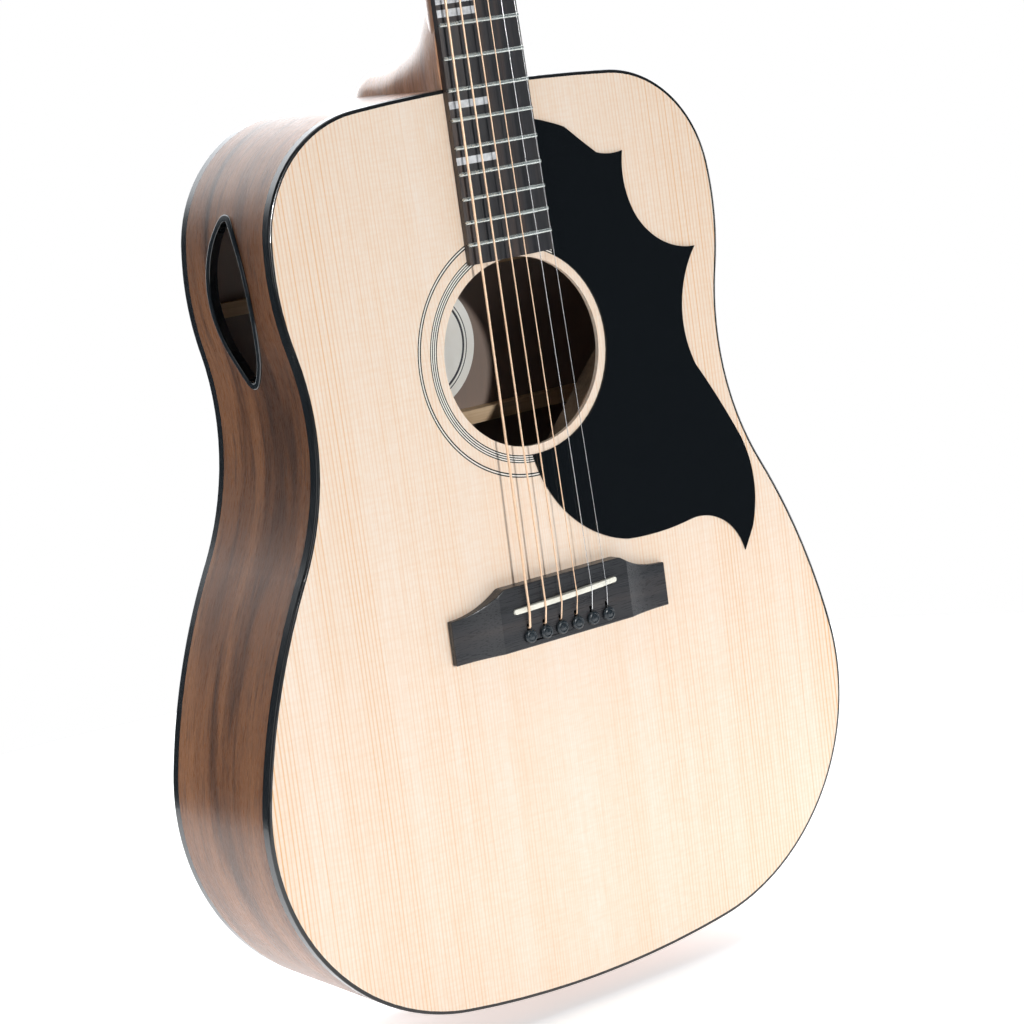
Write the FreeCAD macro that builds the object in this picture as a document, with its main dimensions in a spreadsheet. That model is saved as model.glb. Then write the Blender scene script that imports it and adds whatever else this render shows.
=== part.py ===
# A steel-string acoustic guitar: square-shouldered body, fourteen frets clear of it, a leaf-shaped
# port in the bass side and a three-a-side headstock. Millimetres, +Z from the tail to the headstock,
# the front faces -Y and +X is the treble side. The origin is the seat of the end button.
import FreeCAD, Part
import math
import os

import Sketcher

V = FreeCAD.Vector
doc = FreeCAD.newDocument("guitar")

SIZES = {
    # outline of the top, as tangent arcs from the tail to the neck
    "tail_arc_radius": 596.7,
    "tail_arc_turn": 8.83,
    "lower_bout_radius": 124.2,
    "lower_bout_turn": 92.1,
    "flank_radius": 372.7,
    "flank_turn": 17.75,
    "waist_radius": 161.5,
    "waist_turn": 42.7,
    "upper_bout_radius": 162.0,
    "upper_bout_turn": 20.85,
    "shoulder_radius": 65.9,
    "shoulder_turn": 78.5,
    # arched plates and the rim between them
    "top_arch_radius": 8500,
    "top_apex_y": -54.35,
    "top_apex_z": 230.6,
    "back_arch_radius": 3660,
    "back_apex_y": 55.1,
    "back_apex_z": 159.5,
    "plate_thickness": 2.8,
    "side_thickness": 2.5,
    "binding_width": 2.0,
    "binding_height": 6.4,
    "binding_round": 1.2,
    "lining_width": 6.0,
    "lining_height": 13.0,
    "block_width": 90,
    "neck_block_z": 452,
    "tenon_floor_y": 4,
    "tail_block_width": 76,
    "tail_block_z": 22,
    # sound hole, rosette and side port
    "hole_radius": 51.5,
    "hole_z": 356.3,
    "rosette_depth": 1.2,
    "inner_ring_radius": 56.2,
    "inner_ring_width": 4.3,
    "outer_ring_radius": 66.3,
    "outer_ring_width": 2.1,
    "port_z": 407.0,
    "port_y": -3.7,
    "port_half_length": 47.0,
    "port_half_width": 22.0,
    "port_tip_radius": 8.0,
    "port_tilt": 2.0,
    "port_lip": 3.6,
    "port_lip_height": 0.8,
    # braces, plate and label
    "brace_cross_z": 276,
    "brace_spread": 43,
    "brace_width": 8,
    "brace_height": 14,
    "label_radius": 37.5,
    "guard_thickness": 0.8,
    # bridge
    "bridge_z": 217.0,
    "bridge_height": 8.0,
    "wing_height": 3.6,
    "saddle_z": 221.0,
    "saddle_tilt": 2.3,
    "saddle_length": 71,
    "saddle_width": 3.0,
    "saddle_height": 8.4,
    "pin_z": 204.6,
    "pin_pitch": 10.8,
    "pin_hole_radius": 2.75,
    # neck and fingerboard, measured in the neck's own frame
    "scale_length": 628.65,
    "joint_z": 500.6,
    "joint_y": -50.1,
    "neck_angle": 1.06,
    "board_thickness": 5.3,
    "board_arch_radius": 305,
    "board_end": -92.7,
    "nut_width": 43.0,
    "end_width": 56.0,
    "nut_thickness": 6.0,
    "nut_height": 7.6,
    "fret_count": 20,
    "fret_width": 2.2,
    "fret_height": 1.0,
    "tang_width": 0.6,
    "tang_depth": 1.6,
    "head_angle": 15,
    "head_thickness": 14,
    "veneer_thickness": 1.5,
    "cover_thickness": 1.6,
    # tuning machines, in the headstock's frame
    "post_radius": 3.0,
    "post_pitch": 38,
    "first_post_z": 50,
    "running_gap": 0.05,
}

sizes = doc.addObject("Spreadsheet::Sheet", "sizes")
for row, (alias, value) in enumerate(SIZES.items(), start=1):
    sizes.set(f"A{row}", alias)
    sizes.set(f"B{row}", str(value))
    sizes.setAlias(f"B{row}", alias)
doc.recompute()


def size(alias):
    return float(getattr(sizes, alias))


pieces = []


def publish(obj, label):
    """Name a finished sub-part; its label is the name of its file."""
    obj.Label = label
    pieces.append(obj)
    return obj


def bind(obj, **expressions):
    """Drive properties of an object from the sheet; Base_y means Placement.Base.y."""
    for name, expression in expressions.items():
        path = "Placement.Base." + name[-1] if name.startswith("Base_") else name
        obj.setExpression(path, expression)
    return obj


def add(kind, name, **expressions):
    return bind(doc.addObject(kind, name), **expressions)


def boolean(kind, name, *shapes):
    """Part boolean of two or more document objects."""
    if kind == "Cut":
        result = doc.addObject("Part::Cut", name)
        result.Base, result.Tool = shapes
        return result
    result = doc.addObject("Part::Multi" + kind, name)
    result.Shapes = list(shapes)
    return result


def extrude(name, face, direction, forward, backward="0"):
    """Extrude a face object both ways along a direction."""
    solid = add("Part::Extrusion", name, LengthFwd=forward, LengthRev=backward)
    solid.Base = face
    solid.DirMode = "Custom"
    solid.Dir = direction
    solid.Solid = True
    return solid


def sketch(name, items, plane="XZ", body=None, shift=0.0):
    """A sketch of lines and arcs joined end to end; each item is ((x, y), (x, y)) or three points."""
    if body:
        drawing = body.newObject("Sketcher::SketchObject", name)
        origin_plane = next(o for o in body.Origin.OriginFeatures if o.Role == plane + "_Plane")
        drawing.AttachmentSupport = (origin_plane, [""])
        drawing.MapMode = "FlatFace"
        drawing.AttachmentOffset = FreeCAD.Placement(V(0, 0, shift), FreeCAD.Rotation())
    else:
        drawing = doc.addObject("Sketcher::SketchObject", name)
        turns = {"XY": (V(1, 0, 0), 0), "XZ": (V(1, 0, 0), 90), "YZ": (V(1, 1, 1), 120)}
        turn = FreeCAD.Rotation(*turns[plane])
        drawing.Placement = FreeCAD.Placement(turn.multVec(V(0, 0, shift)), turn)
    for points in items:
        corners = [V(x, y, 0) for x, y in points]
        drawing.addGeometry(Part.LineSegment(*corners) if len(corners) == 2 else Part.Arc(*corners))
    first = 0
    for index in range(len(items)):
        closes = index == len(items) - 1 or math.dist(items[index][-1], items[index + 1][0]) > 1e-6
        follower = first if closes else index + 1
        last_end = end_of(drawing, index, items[index][-1])
        first_end = end_of(drawing, follower, items[follower][0])
        drawing.addConstraint(Sketcher.Constraint("Coincident", index, last_end, follower, first_end))
        first = index + 1 if closes else first
    return drawing


def end_of(drawing, index, point):
    """1 or 2: which end of a sketch's line or arc lies at a point."""
    start = drawing.getPoint(index, 1)
    return 1 if math.hypot(start.x - point[0], start.y - point[1]) < 1e-4 else 2


def polygon(*points):
    return [(points[i - 1], points[i]) for i in range(1, len(points))] + [(points[-1], points[0])]


def mirrored(items):
    """The same items on the other side of the centreline, in the order that carries the outline on."""
    return [tuple((-x, y) for x, y in reversed(points)) for points in reversed(items)]


def centred(obj, base, axis, angle):
    obj.Placement = FreeCAD.Placement(V(*base), FreeCAD.Rotation(V(*axis), angle))
    return obj


# ---- body outline -------------------------------------------------------------------------------
ARCS = (("tail_arc", 1), ("lower_bout", 1), ("flank", 1), ("waist", -1), ("upper_bout", 1), ("shoulder", 1))


def on_arc(centre, reach, heading):
    return (centre[0] + reach * math.sin(heading), centre[1] - reach * math.cos(heading))


def body_outline(offset):
    """The closed outline, a constant distance outside the edge of the top."""
    spot, heading, items = (0.0, size("binding_width") - offset), 0.0, []
    for name, hand in ARCS:
        reach = hand * (size(name + "_radius") + hand * offset)
        turn = hand * math.radians(size(name + "_turn"))
        centre = (spot[0] - reach * math.sin(heading), spot[1] + reach * math.cos(heading))
        middle = on_arc(centre, reach, heading + turn / 2)
        spot_after = on_arc(centre, reach, heading + turn)
        items.append((spot, middle, spot_after))
        spot, heading = spot_after, heading + turn
    reach = spot[0] / math.sin(heading)  # the last arc closes on the centreline, square to it
    centre = (0.0, spot[1] + reach * math.cos(heading))
    items.append((spot, on_arc(centre, reach, (heading + math.pi) / 2), (0.0, centre[1] + reach)))
    return items + mirrored(items)


def slab(name, offset):
    """The outline as a prism through the whole depth of the body."""
    face = sketch(name + "_outline", body_outline(offset))
    return extrude(name, face, V(0, 1, 0), "80", "80")


def arch(name, side, depth="0"):
    """Ball whose near surface is an arched plate, sunk a depth under the plate's outer face."""
    ball = add("Part::Sphere", name, Radius=f"sizes.{side}_arch_radius - {depth}")
    bind(ball, Base_z=f"sizes.{side}_apex_z")
    sign = "+" if side == "top" else "-"
    bind(ball, Base_y=f"sizes.{side}_apex_y {sign} sizes.{side}_arch_radius")
    return ball


inset = size("binding_width") - size("side_thickness")
outer_slab = slab("outer_slab", size("binding_width"))
plate_slab = slab("plate_slab", 0.0)
inner_slab = slab("inner_slab", inset)
lining_slab = slab("lining_slab", inset - size("lining_width"))
proud_slab = slab("proud_slab", size("binding_width") + size("port_lip_height"))
trim_slab = slab("trim_slab", inset - 2.0)

domes = {}
lining_depth = "(sizes.plate_thickness + sizes.lining_height)"
for side in ("top", "back"):
    domes[side, "face"] = arch(side + "_face", side)
    domes[side, "plate"] = arch(side + "_under_plate", side, "sizes.plate_thickness")
    domes[side, "binding"] = arch(side + "_under_binding", side, "sizes.binding_height")
    domes[side, "lining"] = arch(side + "_under_lining", side, lining_depth)

# ---- plates, sides, bindings and linings --------------------------------------------------------
# the neck's dovetailed tenon goes through the rim into the neck block
tenon_shape = sketch("tenon_shape", polygon((-13, 503), (-16, 484), (16, 484), (13, 503)))
tenon_pocket = extrude("tenon_pocket", tenon_shape, V(0, 1, 0), "sizes.tenon_floor_y", "70")


def box(name, low, high):
    block = doc.addObject("Part::Box", name)
    block.Length, block.Width, block.Height = (b - a for a, b in zip(low, high))
    block.Placement.Base = V(*low)
    return block


def rod(name, radius, start, length, axis=(0, -1, 0)):
    """Cylinder from a point along an axis; radius and length are expressions."""
    bar = add("Part::Cylinder", name, Radius=radius, Height=length)
    bar.Placement = FreeCAD.Placement(V(*start), FreeCAD.Rotation(V(0, 0, 1), V(*axis)))
    return bar


def shell(name, outline, outer, inner):
    """What an outline prism holds between two balls, or inside one and outside a deeper one."""
    skin = boolean("Common", name + "_outer", outline, outer)
    return boolean("Cut", name, skin, inner)


def ring(name, outside, inside, *balls):
    band = boolean("Cut", name + "_band", outside, inside)
    return boolean("Common", name, band, *balls)


def rounded(name, solid, radius, wanted):
    """Fillet the edges that a test picks."""
    doc.recompute()
    result = doc.addObject("Part::Fillet", name)
    result.Base = solid
    numbered = enumerate(solid.Shape.Edges, start=1)
    result.Edges = [(number, radius, radius) for number, edge in numbered if wanted(edge)]
    return result


def middle_of(edge):
    return edge.valueAt((edge.FirstParameter + edge.LastParameter) / 2)


def on_face(edge, solid):
    """True where an edge lies on the skin of another solid."""
    return solid.Shape.Shells[0].distToShape(Part.Vertex(middle_of(edge)))[0] < 0.01


def clear_of(edge, solid, gap):
    return solid.Shape.distToShape(Part.Vertex(middle_of(edge)))[0] > gap


def outer_corner(side):
    """Test for the edges where the face of a binding meets its outside."""
    return lambda edge: on_face(edge, domes[side, "face"]) and clear_of(edge, plate_slab, 1.0)


PIN_X = [(index - 2.5) * size("pin_pitch") for index in range(6)]
pin_bores = []
for index, x in enumerate(PIN_X, start=1):
    bore = rod(f"pin_bore_{index}", "sizes.pin_hole_radius", (x, -40, size("pin_z")), "30")
    notch = box(f"string_notch_{index}", (x - 0.9, -70, size("pin_z")), (x + 0.9, -40, size("pin_z") + 6.9))
    pin_bores.append(boolean("Fuse", f"pin_passage_{index}", bore, notch))
pin_passages = doc.addObject("Part::Compound", "pin_passages")
pin_passages.Links = pin_bores

hole = rod("hole_cutter", "sizes.hole_radius", (0, -30, size("hole_z")), "50")


def groove_ring(name, inner, width):
    outside = rod(name + "_outside", f"sizes.{inner} + sizes.{width}", (0, -30, size("hole_z")), "50")
    inside = rod(name + "_inside", f"sizes.{inner}", (0, -30, size("hole_z")), "50")
    return boolean("Cut", name, outside, inside)


inner_group = groove_ring("inner_group", "inner_ring_radius", "inner_ring_width")
outer_group = groove_ring("outer_group", "outer_ring_radius", "outer_ring_width")
rosette_rings = boolean("Fuse", "rosette_rings", inner_group, outer_group)
rosette_floor = arch("rosette_floor", "top", "sizes.rosette_depth")
rosette_skin = boolean("Common", "rosette_skin", rosette_rings, domes["top", "face"])
rosette = publish(boolean("Cut", "rosette_cut", rosette_skin, rosette_floor), "rosette")

top_plate = shell("top_plate", plate_slab, domes["top", "face"], domes["top", "plate"])
top_cuts = boolean("Fuse", "top_cuts", hole, rosette, tenon_pocket)
top_opened = boolean("Cut", "top_opened", top_plate, top_cuts)
publish(boolean("Cut", "top_drilled", top_opened, pin_passages), "soundboard")
publish(shell("back_plate", plate_slab, domes["back", "face"], domes["back", "plate"]), "back")

for side in ("top", "back"):
    other = "back" if side == "top" else "top"
    band = boolean("Cut", side + "_binding_band", outer_slab, plate_slab)
    strip = boolean("Common", side + "_binding_strip", band, domes[side, "face"])
    strip = boolean("Cut", side + "_binding_ring", strip, domes[side, "binding"])
    if side == "top":
        strip = boolean("Cut", "top_binding_open", strip, tenon_pocket)
    strip = rounded("binding_" + side + "_rounded", strip, size("binding_round"), outer_corner(side))
    publish(strip, "binding_" + side)

rim_outer = ring("rim_outer", outer_slab, inner_slab, domes["top", "binding"], domes["back", "binding"])
rim_inner = ring("rim_inner", plate_slab, inner_slab, domes["top", "plate"], domes["back", "plate"])
button_bore = rod("button_bore", "4", (0, 0, -5), "40", (0, 0, 1))
rim_cuts = boolean("Fuse", "rim_cuts", tenon_pocket, button_bore)
rim = boolean("Cut", "rim_open", boolean("Fuse", "rim", rim_outer, rim_inner), rim_cuts)


# ---- side port ----------------------------------------------------------------------------------
def leaf(shrink):
    """Leaf outline in the (Y, Z) plane: two long arcs meeting in rounded tips."""
    half = size("port_half_width") - shrink
    length = size("port_half_length") - shrink
    tip = size("port_tip_radius") - shrink
    reach = (half ** 2 + (length - tip) ** 2 - tip ** 2) / (2 * (half - tip))
    lean = math.atan2(length - tip, reach - half)
    flank_end = (tip * math.cos(lean), length - tip + tip * math.sin(lean))
    right = [((flank_end[0], -flank_end[1]), (half, 0.0), flank_end),
             (flank_end, (0.0, length), (-flank_end[0], flank_end[1]))]
    left = [((-flank_end[0], flank_end[1]), (-half, 0.0), (-flank_end[0], -flank_end[1])),
            ((-flank_end[0], -flank_end[1]), (0.0, -length), (flank_end[0], -flank_end[1]))]
    tilt = math.radians(size("port_tilt"))

    def place(point):
        y, z = point
        return (size("port_y") + y * math.cos(tilt) - z * math.sin(tilt),
                size("port_z") + y * math.sin(tilt) + z * math.cos(tilt))

    return [tuple(place(point) for point in points) for points in right + left]


def leaf_prism(name, shrink):
    return extrude(name, sketch(name + "_shape", leaf(shrink), "YZ"), V(-1, 0, 0), "170", "-100")


flange_prism = leaf_prism("port_flange", 0.0)
body_prism = leaf_prism("port_body", 1.5)
mouth_prism = leaf_prism("port_mouth", size("port_lip"))
port_flange = ring("port_flange_skin", proud_slab, outer_slab, flange_prism)
port_sleeve = ring("port_sleeve", outer_slab, trim_slab, body_prism)
port_ring = boolean("Fuse", "port_ring", port_flange, port_sleeve)
port_ring_open = boolean("Cut", "port_ring_open", port_ring, mouth_prism)
lip_round = size("port_lip_height") * 0.8
port_rounded = rounded("port_rounded", port_ring_open, lip_round, lambda edge: on_face(edge, proud_slab))
publish(port_rounded, "port_trim")

bass_half = box("bass_half", (-220, -80, -10), (0, 80, 520))
treble_half = box("treble_half", (0, -80, -10), (220, 80, 520))
bass_rim = boolean("Common", "bass_rim", rim, bass_half)
publish(boolean("Cut", "bass_rim_open", bass_rim, body_prism), "side_bass")
publish(boolean("Common", "treble_rim", rim, treble_half), "side_treble")

# ---- blocks, linings and braces -----------------------------------------------------------------
half_block = size("block_width") / 2
half_tail = size("tail_block_width") / 2
neck_block_box = box("neck_block_box", (-half_block, -80, size("neck_block_z")), (half_block, 80, 520))
tail_block_box = box("tail_block_box", (-half_tail, -80, -10), (half_tail, 80, size("tail_block_z")))
body_space = (inner_slab, domes["top", "plate"], domes["back", "plate"])
neck_blank = boolean("Common", "neck_block_blank", neck_block_box, *body_space)
publish(boolean("Cut", "neck_block_cut", neck_blank, tenon_pocket), "neck_block")
tail_blank = boolean("Common", "tail_block_blank", tail_block_box, *body_space)
publish(boolean("Cut", "tail_block_cut", tail_blank, button_bore), "tail_block")

for side in ("top", "back"):
    strip = shell(side + "_lining_skin", inner_slab, domes[side, "plate"], domes[side, "lining"])
    strip = boolean("Cut", side + "_lining_ring", strip, lining_slab)
    both_blocks = boolean("Fuse", side + "_blocks", neck_block_box, tail_block_box)
    strip = boolean("Cut", side + "_lining_gap", strip, both_blocks)
    publish(strip, "lining_" + side)


def brace_bar(name, middle, angle, length, width, height, end=3.0, side="top"):
    """A bar on edge, arched along its glued face, its ends swept down to thin tips."""
    half, taper = length / 2, min(55.0, length * 0.3)
    tip, root = end + 6.0, height + 6.0
    scoop = tip + (height - end) * 0.3
    profile = [((-half, 0), (half, 0)), ((half, 0), (half, tip)),
               ((half, tip), (half - taper * 0.55, scoop), (half - taper, root)),
               ((half - taper, root), (taper - half, root)),
               ((taper - half, root), (taper * 0.55 - half, scoop), (-half, tip)),
               ((-half, tip), (-half, 0))]
    shape = sketch(name + "_profile", profile, "XY", shift=-width / 2)
    bar = extrude(name + "_bar", shape, V(0, 0, 1), str(width))
    near, turn_over = (-57.0, 0) if side == "top" else (58.0, 180)
    turn = FreeCAD.Rotation(V(0, 1, 0), -angle) * FreeCAD.Rotation(V(1, 0, 0), turn_over)
    bar.Placement = FreeCAD.Placement(V(middle[0], near, middle[1]), turn)
    return bar


def brace(name, *shape, **options):
    side = options.get("side", "top")
    return boolean("Common", name, brace_bar(name, *shape, **options), domes[side, "plate"], lining_slab)


def group(label, solids):
    bundle = doc.addObject("Part::Compound", label + "_group")
    bundle.Links = solids
    return publish(bundle, label)


cross = size("brace_cross_z")
lean = 90 - size("brace_spread")
legs = [brace("x_leg_" + hand, (0, cross), sign * lean, 470, size("brace_width"), size("brace_height"))
        for hand, sign in (("rising", 1), ("falling", -1))]
half_lap = boolean("Common", "half_lap", *legs)
lap_split = box("lap_split", (-30, -60, cross - 30), (30, -44.5, cross + 30))
lower_lap = boolean("Common", "lower_lap", half_lap, lap_split)
lap_rest = boolean("Cut", "lap_rest", half_lap, lap_split)
x_legs = [boolean("Cut", "x_leg_rising_cut", legs[0], lower_lap),
          boolean("Cut", "x_leg_falling_cut", legs[1], lap_rest)]
transverse = publish(brace("transverse", (0, 430), 0, 300, 14, 18), "upper_transverse_brace")
group("x_brace", [boolean("Cut", f"x_leg_{index}", leg, transverse) for index, leg in enumerate(x_legs)])
group("tone_bars", [brace("tone_bar_1", (5, 148), -28, 150, 7, 12),
                    brace("tone_bar_2", (-8, 103), -28, 160, 7, 11)])
fingers = []
for index, (x, z, length) in enumerate(((122, 226, 82), (156, 183, 74)), start=1):
    for hand, sign in (("treble", 1), ("bass", -1)):
        angle = sign * size("brace_spread")
        fingers.append(brace(f"finger_{hand}_{index}", (sign * x, z), angle, length, 5, 8))
group("finger_braces", fingers)

plate_shape = sketch("bridge_plate_shape", polygon((-64, 194), (64, 194), (28, 236), (-28, 236)))
plate_slug = extrude("bridge_plate_slab", plate_shape, V(0, 1, 0), "80", "80")
plate_floor = arch("bridge_plate_floor", "top", "(sizes.plate_thickness + 2.5)")
plate_skin = shell("bridge_plate_skin", plate_slug, domes["top", "plate"], plate_floor)
publish(boolean("Cut", "bridge_plate_drilled", plate_skin, pin_passages), "bridge_plate")

BACK_BRACES = ((400, 8, 15), (312, 8, 15), (212, 16, 10), (105, 16, 10))
back_bars = [brace(f"back_brace_{index}", (0, z), 0, 420, width, height, side="back")
             for index, (z, width, height) in enumerate(BACK_BRACES, start=1)]
group("back_braces", back_bars)
label_disc = rod("label_disc", "sizes.label_radius", (0, 80, size("hole_z")), "60")
label_floor = arch("label_floor", "back", "(sizes.plate_thickness + 0.4)")
publish(shell("label_skin", label_disc, domes["back", "plate"], label_floor), "label")
strip_floor = arch("seam_strip_floor", "back", "(sizes.plate_thickness + 2)")
strip_box = box("seam_strip_box", (-8, 20, size("tail_block_z")), (8, 80, size("neck_block_z")))
strip_skin = shell("seam_strip_skin", strip_box, domes["back", "plate"], strip_floor)
strip_gaps = boolean("Fuse", "seam_strip_gaps", label_disc, *back_bars)
publish(boolean("Cut", "seam_strip_cut", strip_skin, strip_gaps), "back_seam_strip")

# ---- pickguard ----------------------------------------------------------------------------------
guard = [((27.9, 479), (38.5, 475.7), (48.4, 471.8)), ((48.4, 471.8), (57.2, 464.0), (67.8, 455.0)),
         ((67.8, 455.0), (76.5, 453.2), (85.8, 453.7)), ((85.8, 453.7), (84.0, 434.5), (89.8, 415.5)),
         ((89.8, 415.5), (102.2, 402.1), (127.8, 393.8)), ((127.8, 393.8), (113.3, 364.0), (117.3, 327.7)),
         ((117.3, 327.7), (130.9, 304.8), (142.9, 282.0)), ((142.9, 282.0), (149.2, 254.0), (144.4, 228.2)),
         ((144.4, 228.2), (136.7, 215.6)), ((136.7, 215.6), (123.2, 236.0), (100.8, 242.0)),
         ((100.8, 242.0), (76.0, 239.6), (53.3, 240.5)), ((53.3, 240.5), (20.6, 257.3), (-3.5, 299.9)),
         ((-3.5, 299.9), (56.4, 353.0), (28.6, 405.0)), ((28.6, 405.0), (27.9, 479))]
guard_plan = extrude("guard_plan", sketch("guard_shape", guard), V(0, 1, 0), "0", "80")
guard_face = arch("guard_face", "top", "(-sizes.guard_thickness)")
publish(shell("guard_skin", guard_plan, guard_face, domes["top", "face"]), "pickguard")

# ---- bridge, saddle and pins --------------------------------------------------------------------
low_z, crown_y = size("bridge_z") - 18.7, size("top_apex_y") - size("bridge_height")
wing_y = size("top_apex_y") - size("wing_height")
high_z = low_z + 35.2
plan_half = [((0, low_z), (73.5, low_z)), ((73.5, low_z), (73.5, low_z + 24.6)),
             ((73.5, low_z + 24.6), (56.8, low_z + 27.0), (41.5, low_z + 34.2)),
             ((41.5, low_z + 34.2), (40.3, low_z + 34.9), (38.5, high_z)),
             ((38.5, high_z), (0, high_z))]
side_half = [((0, -48), (80, -48)), ((80, -48), (80, wing_y)), ((80, wing_y), (73.5, wing_y)),
             ((73.5, wing_y), (56.5, wing_y - 1.2), (44, crown_y)), ((44, crown_y), (0, crown_y))]
plan_shape = sketch("bridge_plan_shape", plan_half + mirrored(plan_half))
side_shape = sketch("bridge_side_shape", side_half + mirrored(side_half), "XY")
bridge_plan = extrude("bridge_plan", plan_shape, V(0, 1, 0), "80", "80")
bridge_side = extrude("bridge_side", side_shape, V(0, 0, 1), "300")
bridge_blank = boolean("Common", "bridge_blank", bridge_plan, bridge_side)
bridge_seated = boolean("Cut", "bridge_seated", bridge_blank, domes["top", "face"])


def saddle_shape(name, clearance):
    """Rounded-end bar standing in the bridge, leaning for intonation."""
    reach, thick = size("saddle_length") / 2 + clearance, size("saddle_width") / 2 + clearance
    straight = reach - thick
    items = [((-straight, -thick), (straight, -thick)),
             ((straight, -thick), (reach, 0), (straight, thick)),
             ((straight, thick), (-straight, thick)),
             ((-straight, thick), (-reach, 0), (-straight, -thick))]
    bar = extrude(name, sketch(name + "_shape", items), V(0, -1, 0), "sizes.saddle_height")
    return centred(bar, base=(0, crown_y + 5, size("saddle_z")), axis=(0, 1, 0), angle=-size("saddle_tilt"))


def board_cylinder(name, lift):
    """Cylinder whose front follows the fingerboard's arch, raised over it."""
    reach = size("board_arch_radius") + lift
    rounder = rod(name, str(reach), (0, reach - size("board_thickness") - lift, -120), "700", (0, 0, 1))
    rounder.Placement = NECK * rounder.Placement
    return rounder


def leaning(base, angle):
    """A frame whose Z leans back from the guitar's by an angle."""
    return FreeCAD.Placement(V(*base), FreeCAD.Rotation(V(1, 0, 0), -angle))


BODY_FRETS = 14
NECK = leaning((0, size("joint_y"), size("joint_z")), size("neck_angle"))
nut_z = size("scale_length") * (1 - 2 ** (-BODY_FRETS / 12))
HEAD = NECK * leaning((0, 0, nut_z + size("nut_thickness")), size("head_angle"))


def seat(obj, frame):
    obj.Placement = frame * obj.Placement
    return obj


saddle_line_y = -65.4
saddle_centre = (0, size("board_arch_radius") + saddle_line_y, 180)
saddle_round = rod("saddle_round", "sizes.board_arch_radius", saddle_centre, "90", (0, 0, 1))
publish(boolean("Common", "saddle_crowned", saddle_shape("saddle_bar", 0.0), saddle_round), "saddle")
bridge_cuts = boolean("Fuse", "bridge_cuts", saddle_shape("saddle_slot", 0.0), pin_passages)
publish(boolean("Cut", "bridge_cut", bridge_seated, bridge_cuts), "bridge")

for index, x in enumerate(PIN_X, start=1):
    body = doc.addObject("PartDesign::Body", f"pin_{index}")
    body.Placement = FreeCAD.Placement(V(x, crown_y, size("pin_z")), FreeCAD.Rotation(V(1, 0, 0), 90))
    # taper, collar just off the bridge, domed head with a ring groove
    side = [((0, -26), (2.2, -26)), ((2.2, -26), (2.65, 0.06)),
            ((2.65, 0.06), (3.8, 0.06)), ((3.8, 0.06), (3.9, 0.9)),
            ((3.9, 0.9), (3.5, 1.9), (2.6, 2.3)),
            ((2.6, 2.3), (2.2, 2.0)), ((2.2, 2.0), (1.8, 2.3)),
            ((1.8, 2.3), (0, 2.6)), ((0, 2.6), (0, -26))]
    turning = body.newObject("PartDesign::Revolution", f"pin_turning_{index}")
    turning.Profile = sketch(f"pin_half_{index}", side, "XZ", body)
    turning.ReferenceAxis = (turning.Profile[0], ["V_Axis"])
    publish(body, f"bridge_pin_{index}")

# ---- fingerboard, frets and inlays --------------------------------------------------------------
half_nut, half_end = size("nut_width") / 2, size("end_width") / 2
thick = size("board_thickness")


def half_width(z):
    return half_end + (half_nut - half_end) * (z - size("board_end")) / (nut_z - size("board_end"))


def fret_z(number):
    return nut_z - size("scale_length") * (1 - 2 ** (-number / 12))


board = doc.addObject("PartDesign::Body", "board_blank")
board.Placement = NECK
board_plan = polygon((-half_end, size("board_end")), (half_end, size("board_end")),
                     (half_nut, nut_z), (-half_nut, nut_z))
board_pad = board.newObject("PartDesign::Pad", "board_pad")
board_pad.Profile = sketch("board_plan", board_plan, "XZ", board)
bind(board_pad, Length="sizes.board_thickness")

frets, tangs = [], []
tang, half_crown = size("tang_width") / 2, size("fret_width") / 2
tall, deep = size("fret_height"), -size("tang_depth")
for number in range(1, int(size("fret_count")) + 1):
    z = fret_z(number)
    low, high = z - tang, z + tang
    crown = [((0.0, low), (0.0, z - half_crown)),
             ((0.0, z - half_crown), (tall, z), (0.0, z + half_crown)),
             ((0.0, z + half_crown), (0.0, high))]
    stem = [((0.0, high), (deep, high)), ((deep, high), (deep, low)), ((deep, low), (0.0, low))]
    slot = stem[:2] + [((deep, low), (1.0, low)), ((1.0, low), (1.0, high)), ((1.0, high), (0.0, high))]
    for name, section, bundle, spare in (("fret", crown + stem, frets, 0.4), ("tang", slot, tangs, -2.0)):
        profile = [tuple((-thick - y, q) for y, q in points) for points in section]
        turned = doc.addObject("Part::Revolution", f"{name}_{number}")
        turned.Source = sketch(f"{name}_{number}_section", profile, "YZ")
        turned.Axis, turned.Base = V(0, 0, 1), V(0, size("board_arch_radius") - thick, 0)
        turned.Angle = 2 * math.degrees(math.asin((half_width(z) - spare) / size("board_arch_radius")))
        turned.Symmetric, turned.Solid = True, True
        bundle.append(seat(turned, NECK))
group("frets", frets)

INLAY_FRETS = (3, 5, 7, 9, 12, 15, 17)
bars = []
for number in INLAY_FRETS:
    middle = (fret_z(number - 1) + fret_z(number)) / 2
    for shift in ((-3.4, 3.4) if number == 12 else (0,)):
        low = (-half_width(middle), -thick - 1, middle + shift - 2)
        high = (-1.5, 1.5 - thick, middle + shift + 2)
        bars.append(seat(box(f"inlay_bar_{number}_{len(bars)}", low, high), NECK))
crowned = boolean("Common", "board_crowned", board, board_cylinder("board_round", 0))
group("fret_inlays", [boolean("Common", f"inlay_{index}", bar, crowned) for index, bar in enumerate(bars)])
board_cuts = doc.addObject("Part::Compound", "board_cuts")
board_cuts.Links = tangs + bars
board_fitted = boolean("Cut", "board_fitted", crowned, domes["top", "face"])
publish(boolean("Cut", "board_slotted", board_fitted, board_cuts), "fingerboard")

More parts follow.
